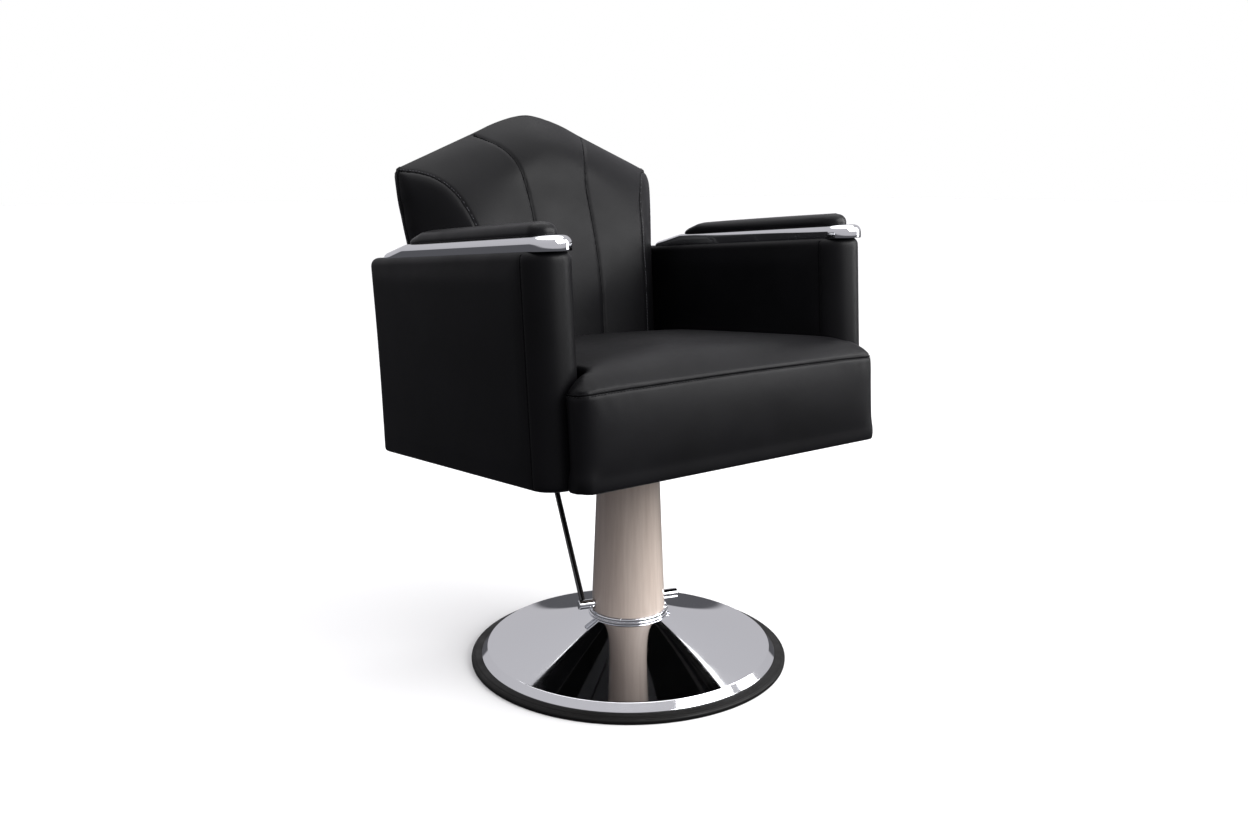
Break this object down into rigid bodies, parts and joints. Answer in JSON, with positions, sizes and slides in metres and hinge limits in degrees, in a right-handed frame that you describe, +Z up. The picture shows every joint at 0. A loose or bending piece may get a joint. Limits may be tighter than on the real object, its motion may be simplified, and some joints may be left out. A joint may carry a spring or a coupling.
{
  "type": "styling chair",
  "caption": "Hydraulic salon styling chair: padded lipped seat, winged crested back, chrome-topped arms, tapered column, foot pump lever and round chrome base.",
  "frame": {"origin": "centre of the round base, on the floor", "axes": "+Z up, the sitter faces -Y, +X is at the sitter's left hand"},
  "size_m": [0.6962, 0.6777, 1.0004],
  "materials": {
    "chrome": "mirror polished chrome plate",
    "rubber": "matte black rubber",
    "veneer": "pale maple grain under a high gloss lacquer",
    "cap_plastic": "fine matte black moulding",
    "black_steel": "satin black powder coat",
    "cast_iron": "fettled casting",
    "steel": "machined and zinc plated",
    "bronze": "turned bronze",
    "lever_enamel": "gloss black enamel",
    "upholstery": "black leatherette, a coated cloth with a fine satin grain",
    "arm_pad": "smooth satin black skin over firm foam",
    "plywood": "birch plywood, stained black, matt",
    "dust_cloth": "thin black non-woven cloth"
  },
  "bodies": {
    "base": {"floor_ring": "rubber", "base_plate": "black_steel", "dish_cover": "chrome", "column_collar": "chrome", "column_cover": "veneer", "column_cap": "cap_plastic", "pump_body": "cast_iron", "pump_bolts": "steel", "pump_cylinder": "steel", "cylinder_screws": "steel", "gland_nut": "steel", "ram_seal": "rubber", "ram_bush": "bronze", "shaft_bush_left": "bronze", "shaft_bush_right": "bronze", "plunger_spring": "steel"},
    "pedal": {"pump_shaft": "chrome", "pump_lever": "lever_enamel", "foot_pedal": "rubber", "lever_clamp_screw": "steel", "pump_cam": "steel"},
    "plunger": {"pump_plunger": "steel"},
    "ram": {"ram": "chrome", "ram_piston": "steel", "piston_seal": "rubber", "thrust_bearing": "bronze"},
    "seat": {"swivel_hub": "black_steel", "hub_lock_screw": "steel", "mounting_plate": "black_steel", "mounting_bolts": "steel", "seat_board": "plywood", "seat_cushion": "upholstery", "seat_dust_cover": "dust_cloth", "cross_bar_front": "black_steel", "cross_bar_rear": "black_steel", "cross_bar_screws": "steel", "arm_frame_left": "plywood", "arm_cover_left": "upholstery", "arm_trim_left": "chrome", "arm_pad_left": "arm_pad", "arm_frame_right": "plywood", "arm_cover_right": "upholstery", "arm_trim_right": "chrome", "arm_pad_right": "arm_pad", "back_cushion": "upholstery", "back_board": "plywood", "back_rear_panel": "upholstery", "back_bracket_left": "black_steel", "back_bracket_right": "black_steel", "back_bracket_screws": "steel"}
  },
  "joints": [
    {"name": "lift", "type": "slide", "parent": "base", "child": "ram", "axis": [0, 0, 1], "range_m": [0, 0.14]},
    {"name": "swivel", "type": "hinge", "parent": "ram", "child": "seat", "pos_m": [0, 0, 0.38], "axis": [0, 0, 1], "continuous": true},
    {"name": "pedal_press", "type": "hinge", "parent": "base", "child": "pedal", "pos_m": [0, 0, 0.106], "axis": [-0.9573, 0.289, 0], "range_deg": [0, 25], "stiffness_Nm_per_rad": 6, "springref_deg": -20.05},
    {"name": "plunger_stroke", "type": "slide", "parent": "base", "child": "plunger", "axis": [0, 0, -1], "range_m": [0, 0.0097], "deforming": ["plunger_spring"]}
  ],
  "couplings": [
    {"joint": "plunger_stroke", "follows": "pedal_press", "m_per_rad": 0.022}
  ]
}
